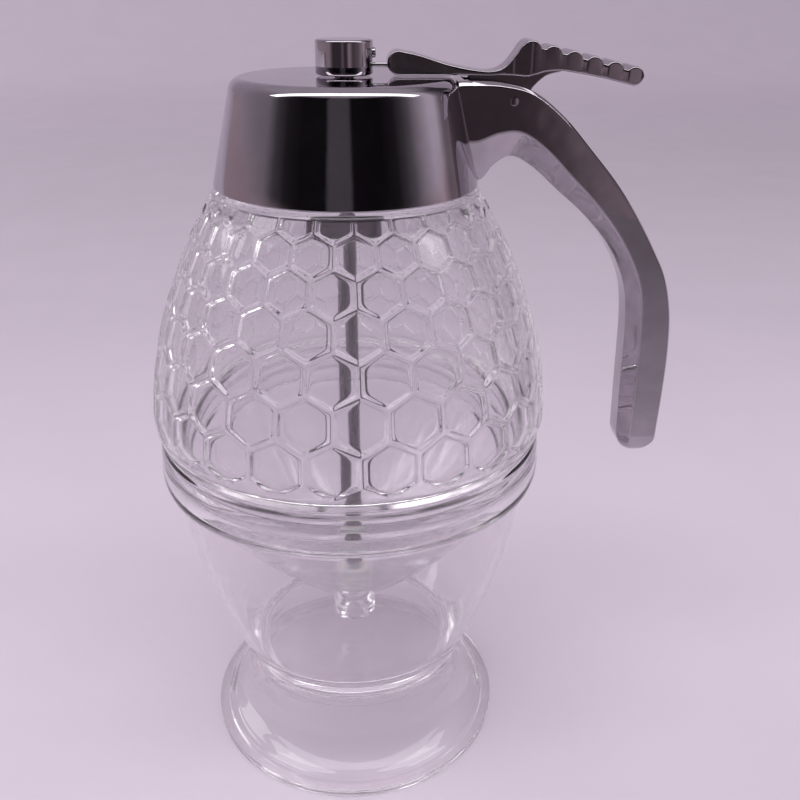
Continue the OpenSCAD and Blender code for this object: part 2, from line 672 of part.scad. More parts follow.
module stopper() {
    color("gainsboro")
    difference() {
        rotate_extrude($fn = small_fn)
        polygon([[0, stopper_z], [cone_low_r, stopper_z], [stopper_r, cone_top_z],
                 [stopper_r, stopper_z + stopper_h - 1], [stopper_r - 1, stopper_z + stopper_h],
                 [0, stopper_z + stopper_h]]);
        translate([0, 0, rod_low_z]) cylinder(r = rod_r, h = stopper_h, $fn = small_fn);
    }
}

// Spring housing: a tube pressed under the cap's top, closed below by the guide bush
housing_z = roof_z - housing_h;
bush_h = 3;
flange_h = 1;         // the bush's flange under the housing
module spring_housing() {
    color("gray")
    translate([0, 0, housing_z])
    difference() {
        cylinder(r = housing_r, h = housing_h, $fn = round_fn);
        translate([0, 0, -tiny])
            cylinder(r = housing_r - housing_wall, h = housing_h + 2 * tiny, $fn = round_fn);
    }
}

module guide_bush() {
    color("whitesmoke")
    translate([0, 0, housing_z - flange_h])
    difference() {
        union() {
            cylinder(r = housing_r, h = flange_h, $fn = round_fn);
            cylinder(r = housing_r - housing_wall, h = bush_h, $fn = round_fn);
        }
        translate([0, 0, -tiny]) cylinder(r = rod_r + guide_fit, h = bush_h + 2 * tiny, $fn = small_fn);
    }
}

collar_z = housing_z - flange_h + bush_h + clear;
module spring_collar() {
    color("silver")
    translate([0, 0, collar_z])
    difference() {
        cylinder(r = collar_r, h = collar_h, $fn = small_fn);
        translate([0, 0, -tiny]) cylinder(r = rod_r, h = collar_h + 2 * tiny, $fn = small_fn);
    }
}

// Return spring: one unbroken wire, closed at both ends, between the collar and the roof
seat_space = 0.1;     // the wire's flats lie this far from the surfaces they press on
spring_z0 = collar_z + collar_h + wire_d / 2 + seat_space;
spring_z1 = roof_z - wire_d / 2 - seat_space;
turn_rings = 8;
wire_sides = 6;
end_turns = 0.75;
end_pitch = wire_d + 0.5;
function spring_rise(t) =
    let (length = spring_z1 - spring_z0,
         pitch = (length - 2 * end_turns * end_pitch) / (spring_turns - 2 * end_turns))
    t < end_turns ? t * end_pitch
    : t > spring_turns - end_turns ? length - (spring_turns - t) * end_pitch
    : end_turns * end_pitch + (t - end_turns) * pitch;
spring_rings = ceil(spring_turns * turn_rings);
function spring_at(i) = let (t = spring_turns * i / spring_rings)
    [spring_r * cos(360 * t), spring_r * sin(360 * t), spring_z0 + spring_rise(t)];
spring_path = [for (i = [0 : spring_rings]) spring_at(i)];
half_turn = turn_rings / 2;
coil_gap = min([for (i = [0 : spring_rings - half_turn]) for (k = [i + half_turn : spring_rings])
    norm(spring_path[i] - spring_path[k])]) - wire_d;
echo(spring_least_gap = coil_gap);

module spring() {
    color("silver")
    polyhedron(
        points = [for (i = [0 : spring_rings]) let (a = 360 * spring_turns * i / spring_rings)
            for (k = [0 : wire_sides - 1]) let (b = 360 * k / wire_sides)
                spring_path[i] + wire_d / 2 * [cos(b) * cos(a), cos(b) * sin(a), sin(b)]],
        faces = concat(
            [for (i = [0 : spring_rings - 1]) for (k = [0 : wire_sides - 1])
                let (a = i * wire_sides + k, b = i * wire_sides + (k + 1) % wire_sides)
                    each [[a, b, a + wire_sides], [b, b + wire_sides, a + wire_sides]]],
            [[for (k = [wire_sides - 1 : -1 : 0]) k]],
            [[for (k = [0 : wire_sides - 1]) spring_rings * wire_sides + k]]));
}

stand();
jar_funnel();
jar_hive();
cap_seal();
cap_shell();
handle();
handle_screws();
spring_housing();
guide_bush();
spring();
lever();
pivot_pin();
lift_pin();
rod();
knob();
knob_screw();
spring_collar();
stopper();
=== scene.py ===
# %% [markdown]
# A honey dispenser, dressed for its portrait. The solids come packed from the CAD step as a frame:
# each has its place and the body that it moves with. This file puts finer meshes and real finishes on
# them. Sizes are kept in millimetres, as a moulder or a toolmaker would write them, and turned into
# Blender's metres at one place.

# %% Load the frame
import math
import bpy
from mathutils import Matrix, Vector


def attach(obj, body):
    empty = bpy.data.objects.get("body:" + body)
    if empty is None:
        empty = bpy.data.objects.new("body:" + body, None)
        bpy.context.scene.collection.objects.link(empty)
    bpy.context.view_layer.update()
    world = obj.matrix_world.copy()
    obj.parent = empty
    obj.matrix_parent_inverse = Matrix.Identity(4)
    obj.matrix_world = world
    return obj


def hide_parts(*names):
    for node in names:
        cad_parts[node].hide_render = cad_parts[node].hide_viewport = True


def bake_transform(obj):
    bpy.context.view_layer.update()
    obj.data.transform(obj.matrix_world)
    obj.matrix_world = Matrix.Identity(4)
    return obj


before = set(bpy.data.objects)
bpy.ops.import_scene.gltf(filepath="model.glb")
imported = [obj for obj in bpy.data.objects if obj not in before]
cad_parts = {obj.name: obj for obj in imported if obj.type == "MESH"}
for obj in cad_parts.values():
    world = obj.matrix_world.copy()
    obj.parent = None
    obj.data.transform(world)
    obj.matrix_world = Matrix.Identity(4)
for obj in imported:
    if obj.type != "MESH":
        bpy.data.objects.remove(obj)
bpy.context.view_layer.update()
MM = 0.001

# %% [markdown]
# The camera stood close to the jar and looked down on it by 26 degrees, as a phone does over a table.
# Its place was solved from the round rims in the photograph, so it is set by a matrix: the columns are
# its right, its up and its back. The lens is 39 mm on a 36 mm wide sensor.

# %% Camera
pitch = 0.453534
yaw = 0.0631961
roll = 0.00789724
flat_right = Vector((math.cos(yaw), -math.sin(yaw), 0))
ahead = Vector((math.sin(yaw), math.cos(yaw), 0))
looking = ahead * math.cos(pitch) - Vector((0, 0, math.sin(pitch)))
rising = ahead * math.sin(pitch) + Vector((0, 0, math.cos(pitch)))
right = flat_right * math.cos(roll) + rising * math.sin(roll)
upward = rising * math.cos(roll) - flat_right * math.sin(roll)
lens_data = bpy.data.cameras.new("camera")
lens_data.sensor_width = 36
lens_data.sensor_fit = "HORIZONTAL"
lens_data.lens = 36 * 866 / 800
lens_data.clip_start = 0.01
lens_data.clip_end = 50
camera = bpy.data.objects.new("camera", lens_data)
bpy.context.scene.collection.objects.link(camera)
turn = Matrix((right, upward, -looking)).transposed().to_4x4()
camera.matrix_world = Matrix.Translation((0, -0.186611, 0.181039)) @ turn
bpy.context.scene.camera = camera
print("camera pitch", round(math.degrees(pitch), 2), "lens", round(lens_data.lens, 2))

# %% [markdown]
# Every piece below ends the same way: points in millimetres become a mesh, the mesh gets its finish, the
# piece rides on a body, and it stands for its CAD solid. Hard corners of a metal or moulded piece are
# never quite sharp, so a narrow bevel is cut on them, and weighted normals keep the flats flat.

# %% Piece helpers
def mesh_object(name, points, faces, unit=MM):
    """A mesh from points in one unit, as an object in the scene."""
    mesh = bpy.data.meshes.new(name)
    mesh.from_pydata([[c * unit for c in p] for p in points], [], faces)
    made = bpy.data.objects.new(name, mesh)
    bpy.context.scene.collection.objects.link(made)
    return made


def piece(name, points, faces, finish, body, slot, node):
    """A mesh from points in millimetres that rides on a body and stands for a CAD node."""
    made = mesh_object(name, points, faces)
    made.data.validate()
    made.data.materials.append(finish)
    made.data.shade_smooth()
    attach(made, body)
    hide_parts(node)
    return made


def apply_all(made):
    """Makes a piece's modifiers part of its mesh."""
    bpy.context.view_layer.objects.active = made
    for modifier in list(made.modifiers):
        bpy.ops.object.modifier_apply(modifier=modifier.name)


def break_edges(made, width, segments=3, angle=32):
    """A narrow bevel on the hard corners, and normals that keep the flats flat."""
    bevel = made.modifiers.new("bevel", "BEVEL")
    bevel.width = width * MM
    bevel.segments = segments
    bevel.limit_method = "ANGLE"
    bevel.angle_limit = math.radians(angle)
    bevel.use_clamp_overlap = True
    bevel.harden_normals = False
    weighted = made.modifiers.new("weighted", "WEIGHTED_NORMAL")
    weighted.keep_sharp = True
    apply_all(made)
    print(made.name, len(made.data.vertices), "points")


def cut_out(made, tool):
    """Cuts a tool body out of a piece, and throws the tool away."""
    cut = made.modifiers.new("cut", "BOOLEAN")
    cut.operation = "DIFFERENCE"
    cut.solver = "EXACT"
    cut.object = tool
    apply_all(made)
    bpy.data.objects.remove(tool)


# %% [markdown]
# Most pieces here are turned: a profile goes once round the axis. A profile that begins and ends on the
# axis closes by itself at two poles, and one that stays off the axis closes into a ring. A swell may push
# a point outward by its angle and height, which is how a screw thread is drawn later.

# %% Turning helpers
def blend_points(a, b, t):
    return [x + (y - x) * t for x, y in zip(a, b)]


def smooth_line(points, steps):
    """A soft curve through the points, with the same rule as the solids use."""
    line = []
    last = len(points) - 1
    for i in range(last):
        a, b = points[max(i - 1, 0)], points[i]
        c, d = points[i + 1], points[min(i + 2, last)]
        for k in range(steps):
            t = k / steps
            line.append([0.5 * (2 * q + (r - p) * t + (2 * p - 5 * q + 4 * r - s) * t * t
                                + (3 * q - p - 3 * r + s) * t ** 3)
                         for p, q, r, s in zip(a, b, c, d)])
    line.append(list(points[last]))
    return line


def bead(radius, low, high, stand, steps=12):
    """Profile points of a round bead between two heights."""
    return [[radius + stand * math.sin(math.pi * k / steps), low + (high - low) * k / steps]
            for k in range(steps + 1)]


def turned(profile, around=192, swell=None):
    """Points and faces of a profile of [radius, height] turned about the vertical axis."""
    poles = profile[0][0] == 0 and profile[-1][0] == 0
    rings = profile[1:-1] if poles else profile
    points = []
    for radius, z in rings:
        for m in range(around):
            a = 2 * math.pi * m / around
            r = radius + (swell(radius, z, a) if swell else 0)
            points.append([r * math.cos(a), r * math.sin(a), z])
    faces = []
    count = len(rings)
    for i in range(count - 1 if poles else count):
        j = (i + 1) % count
        for m in range(around):
            n = (m + 1) % around
            faces.append([i * around + m, i * around + n, j * around + n, j * around + m])
    if poles:
        points += [[0, 0, profile[0][1]], [0, 0, profile[-1][1]]]
        low, high = len(points) - 2, len(points) - 1
        for m in range(around):
            n = (m + 1) % around
            faces.append([low, n, m])
            faces.append([high, (count - 1) * around + m, (count - 1) * around + n])
    return points, faces


def lofted(rings, inside_out=False):
    """Points and faces of a skin over rings of equal size, closed at both ends."""
    n = len(rings[0])
    faces = [[i * n + k, (i + 1) * n + k, (i + 1) * n + (k + 1) % n, i * n + (k + 1) % n]
             for i in range(len(rings) - 1) for k in range(n)]
    faces += [list(range(n)), [(len(rings) - 1) * n + k for k in range(n)][::-1]]
    if inside_out:
        faces = [[face[0]] + face[:0:-1] for face in faces]
    return [p for ring in rings for p in ring], faces


def along_x(points, origin):
    """Turned points laid over, so that their axis runs along +X from the origin."""
    return [[origin[0] + z, origin[1] + y, origin[2] - x] for x, y, z in points]


def box_tool(low, high):
    """A plain box for cutting, which never shows."""
    corners = [[x, y, z] for x in (low[0], high[0]) for y in (low[1], high[1]) for z in (low[2], high[2])]
    sides = [[0, 1, 3, 2], [4, 6, 7, 5], [0, 4, 5, 1], [2, 3, 7, 6], [0, 2, 6, 4], [1, 5, 7, 3]]
    return mesh_object("tool", corners, sides)


# %% [markdown]
# Finishes share a few node recipes: a noise whose size is in millimetres, a range that turns the noise
# into a roughness, and a bump. All of them read the object's own coordinates, so they stay on the piece
# when it moves or when the camera does.

# %% Finish helpers
class Finish:
    """A material under construction, with short words for the nodes it needs."""

    def __init__(self, name):
        self.material = bpy.data.materials.new(name)
        self.material.use_nodes = True
        self.tree = self.material.node_tree
        self.shader = self.tree.nodes["Principled BSDF"]
        self.place = self.tree.nodes.new("ShaderNodeTexCoord").outputs["Object"]

    def set(self, node=None, **sockets):
        """Sets plain values on the shader, or on another node."""
        for name, value in sockets.items():
            (node or self.shader).inputs[name.replace("_", " ")].default_value = value

    def node(self, kind, **sockets):
        made = self.tree.nodes.new("ShaderNode" + kind)
        self.set(made, **sockets)
        return made

    def link(self, output, socket):
        self.tree.links.new(output, self.shader.inputs[socket])

    def stretched(self, x, y, z):
        mapping = self.node("Mapping", Scale=(x, y, z))
        self.tree.links.new(self.place, mapping.inputs["Vector"])
        return mapping.outputs["Vector"]

    def noise(self, size_mm, detail=3, where=None, distortion=0):
        node = self.node("TexNoise", Scale=1000 / size_mm, Detail=detail, Distortion=distortion)
        self.tree.links.new(where or self.place, node.inputs["Vector"])
        return node.outputs["Fac"]

    def spread(self, output, low, high, start=0.35, end=0.65):
        node = self.node("MapRange", From_Min=start, From_Max=end, To_Min=low, To_Max=high)
        self.tree.links.new(output, node.inputs["Value"])
        return node.outputs["Result"]

    def tones(self, output, low, high, start=0.35, end=0.65):
        node = self.node("ValToRGB")
        for stop, place, color in zip(node.color_ramp.elements, (start, end), (low, high)):
            stop.position = place
            stop.color = (*color, 1)
        self.tree.links.new(output, node.inputs["Fac"])
        return node.outputs["Color"]

    def bump(self, output, depth_mm, strength=1.0, under=None):
        node = self.node("Bump", Strength=strength, Distance=depth_mm * MM)
        self.tree.links.new(output, node.inputs["Height"])
        if under:
            self.tree.links.new(under, node.inputs["Normal"])
        self.tree.links.new(node.outputs["Normal"], self.shader.inputs["Normal"])
        return node.outputs["Normal"]


# %% [markdown]
# The jar and its stand are clear acrylic: it bends light a little less than glass does, and a moulding
# is never quite even, so broad shallow waves run over it and fine wipe marks dull it in patches. Light
# from a lamp goes through clear plastic and reaches the sheet behind it, so a shadow ray meets a nearly
# clear film instead of a solid.

# %% Clear acrylic
def clear_acrylic(name, tint, wave_mm, dull, lamp_share):
    clear = Finish(name)
    clear.set(Transmission_Weight=1.0, IOR=1.49, Specular_IOR_Level=0.5)
    body_tone = clear.noise(30, detail=2)
    clear.link(clear.tones(body_tone, tint, [min(1, c + 0.015) for c in tint]), "Base Color")
    wiped = clear.noise(2.2, detail=6, where=clear.stretched(1, 1, 0.35), distortion=0.4)
    clear.link(clear.spread(wiped, *dull, 0.5, 0.8), "Roughness")
    waves = clear.bump(clear.noise(9, detail=1), wave_mm)
    clear.bump(clear.noise(0.8, detail=4), 0.0006, under=waves)
    film = clear.node("BsdfTransparent", Color=(lamp_share, lamp_share * 0.99, lamp_share, 1))
    choice = clear.node("MixShader")
    ray = clear.node("LightPath")
    clear.tree.links.new(ray.outputs["Is Shadow Ray"], choice.inputs[0])
    clear.tree.links.new(clear.shader.outputs["BSDF"], choice.inputs[1])
    clear.tree.links.new(film.outputs["BSDF"], choice.inputs[2])
    clear.tree.links.new(choice.outputs["Shader"], clear.tree.nodes["Material Output"].inputs["Surface"])
    return clear.material


jar_clear = clear_acrylic("jar_acrylic", [0.925, 0.915, 0.928], 0.05, (0.06, 0.10), 0.90)
stand_clear = clear_acrylic("stand_acrylic", [0.93, 0.92, 0.932], 0.03, (0.02, 0.06), 0.70)
print("clear finishes:", jar_clear.name, stand_clear.name)

# %% [markdown]
# The cap, handle, lever and knob are plated with a dark bright metal, darker than plain chrome and very
# slightly violet. Plating follows each unevenness of the casting under it, which is what makes the long
# reflections waver, and hands leave a faint film that dulls it in soft patches.

# %% Dark chrome
def dark_chrome(name, dark, light, wave_mm, film):
    plate = Finish(name)
    plate.set(Metallic=1.0, Specular_IOR_Level=0.5)
    plate.link(plate.tones(plate.noise(6, detail=5), dark, light, 0.3, 0.7), "Base Color")
    hands = plate.noise(7, detail=6, distortion=0.8)
    plate.link(plate.spread(hands, 0.035, film, 0.45, 0.75), "Roughness")
    wavy = plate.bump(plate.noise(11, detail=2), wave_mm)
    plate.bump(plate.noise(0.5, detail=3), 0.0006, under=wavy)
    return plate.material


cap_chrome = dark_chrome("cap_chrome", (0.47, 0.44, 0.475), (0.53, 0.5, 0.535), 0.05, 0.11)
handle_chrome = dark_chrome("handle_chrome", (0.41, 0.38, 0.41), (0.48, 0.445, 0.48), 0.09, 0.16)
housing_chrome = dark_chrome("housing_chrome", (0.10, 0.09, 0.10), (0.16, 0.145, 0.16), 0.02, 0.3)
print("plated finishes:", cap_chrome.name, handle_chrome.name)

# %% [markdown]
# The rod, pins, spring and screws are bare steel. A drawn rod carries fine lines along its length and a
# turned face carries rings, so the noise is stretched along the axis for the one and kept tight for the
# other.

# %% Steel, rubber and plastic
def steel(name, base, stretch, rough):
    bare = Finish(name)
    bare.set(Metallic=1.0, Anisotropic=0.4)
    lines = bare.noise(0.35, detail=4, where=bare.stretched(*stretch))
    bare.link(bare.tones(lines, [c * 0.85 for c in base], base, 0.3, 0.7), "Base Color")
    bare.link(bare.spread(lines, rough * 0.8, rough * 1.5), "Roughness")
    bare.bump(lines, 0.002)
    return bare.material


def soft_rubber(name, low, high, subsurface):
    soft = Finish(name)
    soft.set(Subsurface_Weight=subsurface, Subsurface_Scale=0.002, Sheen_Weight=0.15)
    soft.link(soft.tones(soft.noise(2.5, detail=5), low, high), "Base Color")
    soft.link(soft.spread(soft.noise(1.2, detail=4), 0.38, 0.55), "Roughness")
    soft.bump(soft.noise(0.4, detail=5), 0.006)
    return soft.material


rod_steel = steel("rod_steel", (0.27, 0.25, 0.27), (1, 1, 0.03), 0.2)
pin_steel = steel("pin_steel", (0.58, 0.56, 0.58), (0.05, 1, 1), 0.18)
seal_rubber = soft_rubber("seal_rubber", (0.74, 0.73, 0.71), (0.83, 0.82, 0.8), 0.1)
stopper_silicone = soft_rubber("stopper_silicone", (0.72, 0.70, 0.71), (0.82, 0.8, 0.81), 0.35)
bush_plastic = soft_rubber("bush_plastic", (0.78, 0.78, 0.76), (0.86, 0.86, 0.84), 0.05)
print("small finishes:", rod_steel.name, pin_steel.name, seal_rubber.name, stopper_silicone.name)

# %% [markdown]
# The photograph was taken on a pale lilac sheet that rises behind the object without a corner. The floor
# is one swept surface: flat at the front, then a wide bend, then a wall. It ends not far in front of the
# jar, because the polished cap mirrors a dark room over the table's edge. It lies a tenth of a millimetre
# under the foot, so that light passes from the plastic to the paper through air, as it does on a table.

# %% Floor sweep
SHEET_Z = -0.0001


def sweep_line(front, bend, back, height, steps=24):
    line = [[front, SHEET_Z]]
    for k in range(steps + 1):
        a = math.pi / 2 * k / steps
        line.append([back - bend + bend * math.sin(a), SHEET_Z + bend - bend * math.cos(a)])
    line.append([back, height])
    return line


sheet_line = sweep_line(-0.55, 0.9, 2.2, 2.4)
half_width = 2.2
sheet_points = [[x, y, z] for y, z in sheet_line for x in (-half_width, half_width)]
sheet_faces = [[2 * i, 2 * i + 1, 2 * i + 3, 2 * i + 2] for i in range(len(sheet_line) - 1)]
backdrop = mesh_object("backdrop", sheet_points, sheet_faces, unit=1)
backdrop.data.shade_smooth()

# %% [markdown]
# The sheet's tone carries painted light and shade. It has a painted pool of light near the jar, painted
# falloff that greys it far behind, and a painted shadow in front where the photographer stood. Over that
# lies the faint mottling of paper. The tone follows the place on the sheet, not the place in the picture,
# so other views agree with it.

# %% Sheet finish, with painted light and shade
paper = Finish("lilac_sheet")
distance = paper.node("SeparateXYZ")
paper.tree.links.new(paper.place, distance.inputs["Vector"])
reach = paper.spread(distance.outputs["Y"], 0, 1, -0.5, 1.5)
# painted light: the lilac of the sheet, made lighter or darker by its place front to back
lilac_with_painted_light = paper.tones(reach, (0.20, 0.174, 0.204), (0.68, 0.593, 0.694), 0.05, 1.0)
# painted shadow at the front, painted pool of light by the jar, painted falloff greying it behind
for place, tone in ((0.15, 0.40), (0.21, 0.68), (0.25, 0.72), (0.40, 0.59), (0.55, 0.56), (0.68, 0.57)):
    stop = lilac_with_painted_light.node.color_ramp.elements.new(place)
    stop.color = (tone, tone * 0.872, tone * 1.02, 1)
mottle = paper.node("Mix")
mottle.data_type = "RGBA"
mottle.blend_type = "MULTIPLY"
mottle.inputs["Factor"].default_value = 1.0
paper.tree.links.new(lilac_with_painted_light, mottle.inputs["A"])
paper.tree.links.new(paper.tones(paper.noise(60, detail=5), (0.975, 0.975, 0.975), (1, 1, 1)),
                     mottle.inputs["B"])
paper.link(mottle.outputs["Result"], "Base Color")
paper.link(paper.spread(paper.noise(25, detail=3), 0.75, 0.9), "Roughness")
paper.set(Specular_IOR_Level=0.2)
paper.bump(paper.noise(3, detail=6), 0.05)
backdrop.data.materials.append(paper.material)
print("sheet reaches", round(sheet_line[-1][0], 2), "m back")

# %% [markdown]
# Light comes from a long soft box above and a little in front, which also draws the white line on the
# cap's round edge, and from one farther off at the left, which lays the soft shadow at the right of the
# foot and isn't mirrored anywhere.
# The room itself is the world: even and pale for what is lit, but for mirrors it is dark where the
# photographer stood and pale at the sides, with one lit doorway at the right.

# %% Lamps
def soft_box(name, place, target, size, power):
    lamp = bpy.data.lights.new(name, "AREA")
    lamp.shape = "RECTANGLE"
    lamp.size, lamp.size_y = size
    lamp.energy = power
    made = bpy.data.objects.new(name, lamp)
    bpy.context.scene.collection.objects.link(made)
    made.location = place
    made.rotation_euler = (Vector(target) - Vector(place)).to_track_quat("-Z", "Y").to_euler()
    return made


soft_box("overhead_box", (0.05, -0.35, 1.15), (0.05, -0.3, 0.05), (3.6, 0.36), 12.2)
side_lamp = soft_box("left_box", (-1.9, 0.6, 1.15), (0, 0, 0.08), (1.0, 1.0), 12)
side_lamp.visible_glossy = False
print("lamps:", len(bpy.data.lights))

# %% The room
world = bpy.data.worlds.new("room")
bpy.context.scene.world = world
world.use_nodes = True
nodes, links = world.node_tree.nodes, world.node_tree.links
nodes.clear()


def room_math(operation, a, b=None):
    node = nodes.new("ShaderNodeMath")
    node.operation = operation
    for socket, value in zip(node.inputs, (a, b)):
        if hasattr(value, "node"):
            links.new(value, socket)
        elif value is not None:
            socket.default_value = value
    return node.outputs["Value"]


direction = nodes.new("ShaderNodeSeparateXYZ")
links.new(nodes.new("ShaderNodeTexCoord").outputs["Generated"], direction.inputs["Vector"])
toward_front = room_math("MULTIPLY", direction.outputs["Y"], -1.0)
bearing = room_math("ARCTAN2", direction.outputs["X"], toward_front)
share = room_math("ADD", room_math("DIVIDE", bearing, 2 * math.pi), 0.5)
# bearing in degrees from the photographer, and how light the room is there
room_tones = [(-180, 0.40), (-120, 0.34), (-84, 0.24), (-76, 0.21), (-66, 0.07), (-55, 0.02),
              (-40, 0.008), (-18, 0.008), (-15, 0.085), (3, 0.080), (6, 0.008), (32, 0.006),
              (46, 0.015), (54, 0.05), (62, 0.115), (80, 0.46), (86, 0.58), (94, 0.58), (103, 0.20),
              (118, 0.05), (140, 0.05), (180, 0.35)]
# the same below eye height, where the handle's sides and the knob look: warm table and floor
low_tones = [(-180, 0.40), (-90, 0.35), (-60, 0.30), (-45, 0.05), (-12, 0.05), (-8, 0.15), (-2, 0.12),
             (2, 0.04), (12, 0.06), (17, 0.25), (22, 0.30), (35, 0.08), (60, 0.15), (90, 0.50),
             (100, 0.20), (180, 0.35)]


def around_room(tones, tint):
    """A ramp over the bearing, from a list of degrees and tones."""
    ramp_node = nodes.new("ShaderNodeValToRGB")
    links.new(share, ramp_node.inputs["Fac"])
    for _ in range(len(tones) - 2):
        ramp_node.color_ramp.elements.new(0.5)
    for element, (degrees, tone) in zip(ramp_node.color_ramp.elements, tones):
        element.position = degrees / 360 + 0.5
    for element, (degrees, tone) in zip(ramp_node.color_ramp.elements, tones):
        element.color = (*[tone * c for c in tint], 1)
    return ramp_node.outputs["Color"]


def by_height(low, high, below, above):
    """The first colour below a height, the second above the other, and a soft change between."""
    rise = nodes.new("ShaderNodeMapRange")
    rise.interpolation_type = "SMOOTHSTEP"
    rise.inputs["From Min"].default_value = low
    rise.inputs["From Max"].default_value = high
    links.new(direction.outputs["Z"], rise.inputs["Value"])
    mix = nodes.new("ShaderNodeMix")
    mix.data_type = "RGBA"
    links.new(rise.outputs["Result"], mix.inputs["Factor"])
    for name, color in (("A", below), ("B", above)):
        if hasattr(color, "node"):
            links.new(color, mix.inputs[name])
        else:
            mix.inputs[name].default_value = (*color, 1)
    return mix.outputs["Result"]


walls = around_room(room_tones, (1.0, 0.86, 1.02))
lower = around_room(low_tones, (1.0, 0.76, 0.88))
mirror_tone = by_height(0.62, 0.85, by_height(0.06, 0.16, lower, walls), (0.42, 0.37, 0.43))


def glow(color):
    """A background light of one colour, or of the colour that a node gives."""
    node = nodes.new("ShaderNodeBackground")
    if hasattr(color, "node"):
        links.new(color, node.inputs["Color"])
    else:
        node.inputs["Color"].default_value = (*color, 1)
    return node.outputs["Background"]


def pick(share, first, second):
    """The first light where the share is 0 and the second where it is 1."""
    node = nodes.new("ShaderNodeMixShader")
    if hasattr(share, "node"):
        links.new(share, node.inputs[0])
    else:
        node.inputs[0].default_value = share
    links.new(first, node.inputs[1])
    links.new(second, node.inputs[2])
    return node.outputs["Shader"]


path = nodes.new("ShaderNodeLightPath")
mirrored = glow(mirror_tone)
through_clear = pick(0.12, glow((0.76, 0.665, 0.77)), mirrored)
polished = pick(path.outputs["Is Transmission Ray"], mirrored, through_clear)
shiny = room_math("MAXIMUM", path.outputs["Is Glossy Ray"], path.outputs["Is Transmission Ray"])
undimmed = room_math("LESS_THAN", path.outputs["Diffuse Depth"], 0.5)
seen = room_math("MULTIPLY", shiny, undimmed)
room_light = pick(seen, glow((0.56, 0.542, 0.566)), polished)
links.new(room_light, nodes.new("ShaderNodeOutputWorld").inputs["Surface"])
bpy.context.scene.view_settings.view_transform = "Standard"
# light caught inside clear plastic bounces many times before it comes out
for kind in ("max_bounces", "glossy_bounces", "transmission_bounces"):
    setattr(bpy.context.scene.cycles, kind, 24)
print("room tones:", len(room_tones))

# %% [markdown]
# The stand is one clear moulding: a beaded rim that the jar hangs in, a bowl with a floor, a waist and a
# hollow foot. It is turned from one closed profile that follows the outside upward and the inside back
# down. The bowl's wall keeps its thickness, since an even wall is what makes clear plastic look moulded.

# %% Stand
foot_r, foot_edge, waist_r, waist_z, floor_z = 37.8, 2.2, 27.4, 17.5, 21.8
wall, rim_z, rim_low, rim_r = 2.2, 87.0, 75.6, 45.0
rim_bore = rim_r - 0.5 - wall
rim_h = rim_z - rim_low
cup_low, cup_top = waist_r + 0.6, rim_bore + 0.3


def between(a, b, shares):
    return [[a[0] + (b[0] - a[0]) * s, a[1] + (b[1] - a[1]) * t] for s, t in shares]


cup_line = smooth_line(between([cup_low, floor_z + 0.6], [cup_top, rim_low],
                               [(0, 0), (0.30, 0.19), (0.70, 0.525), (0.92, 0.838), (1, 1)]), 12)
foot_line = smooth_line(between([waist_r, waist_z], [foot_r - 3, foot_edge + 1.3],
                                [(0, 0), (0.14, 0.46), (0.53, 0.81), (1, 1)]), 12)
rim_beads = [(0.02, 0.42, 0.0), (0.45, 0.73, 0.3), (0.75, 0.95, 0.5)]
stand_profile = [[0, floor_z], [waist_r - wall - 1.6, floor_z], [waist_r - wall - 0.5, floor_z - 0.4],
                 [waist_r - wall, floor_z - 1.5]]
stand_profile += [[r - wall, z - wall * 0.45] for r, z in foot_line]
stand_profile += [[foot_r - 2.7, 0], [foot_r - 0.3, 0], [foot_r, 0.3], [foot_r, foot_edge - 0.3],
                  [foot_r - 0.3, foot_edge], [foot_r - 1.8, foot_edge + 0.3]]
stand_profile += bead(foot_r - 2.7, foot_edge + 0.5, foot_edge + 1.1, 0.0, 2) + foot_line[::-1]
stand_profile += bead(waist_r + 0.3, (waist_z + floor_z) / 2, floor_z + 0.3, 0.45) + cup_line
for low, high, inset in rim_beads:
    stand_profile += bead(rim_r - 0.45 - inset, rim_low + rim_h * low, rim_low + rim_h * high, 0.45)
stand_profile += [[rim_r - 0.8, rim_z], [rim_bore + 0.3, rim_z], [rim_bore, rim_z - 0.3],
                  [rim_bore, rim_z - 10]]
stand_profile += [[r - wall, z] for r, z in cup_line[::-1][:-10]]
cup_inside, floor_top = cup_low - wall, floor_z + wall
stand_profile += [[cup_inside - 0.6, floor_top + 0.9], [cup_inside - 1.4, floor_top + 0.25],
                  [cup_inside - 2.4, floor_top], [0, floor_top]]
stand = piece("stand_moulding", *turned(stand_profile, 224), stand_clear, "stand", "clear_plastic", "stand")
break_edges(stand, 0.18, 2, 40)

# %% [markdown]
# The lower half of the jar is a bowl that runs down to a nozzle. Its ledge lies on the stand's rim and its
# short spigot drops into it. The nozzle's top is a cone, the seat on which the stopper closes. It is a
# second turned profile. Its wall grows thicker toward the nozzle, as it must to be filled in a mould.

# %% Jar funnel
jar_wall, belly_z, seam_z = 2.4, 92.0, 89.0
spigot_r, ledge_r, spigot_z = rim_bore - 0.3, 44.4, 82.0
nozzle_r, nozzle_bore, nozzle_z, nozzle_top = 5.4, 2.8, 28.5, 38.0
funnel_wall, funnel_bore = 2.2, 5.2
shoulder_r, shoulder_z, neck_r, neck_bore, neck_top = 27.6, 141.7, 22.8, 20.2, 151.1
fullness, jar_r = 1.6, 45.48


def shell_reach(drop, far_r):
    return drop / (1 - (far_r / jar_r) ** fullness) ** (1 / fullness)


up_reach = shell_reach(shoulder_z - belly_z, shoulder_r)
low_reach = shell_reach(5.0, ledge_r)


def shell_r(z):
    """Outside radius of the jar at a height, the same full curve that the solids use."""
    u = (z - belly_z) / up_reach if z > belly_z else (belly_z - z) / low_reach
    return jar_r * (1 - min(u, 0.99) ** fullness) ** (1 / fullness)


def funnel_r(z):
    u = max((spigot_z - z) / (spigot_z - nozzle_top), 0)
    return nozzle_r + (spigot_r - 0.6 - nozzle_r) * (1 - min(u, 1) ** 1.5) ** 0.9


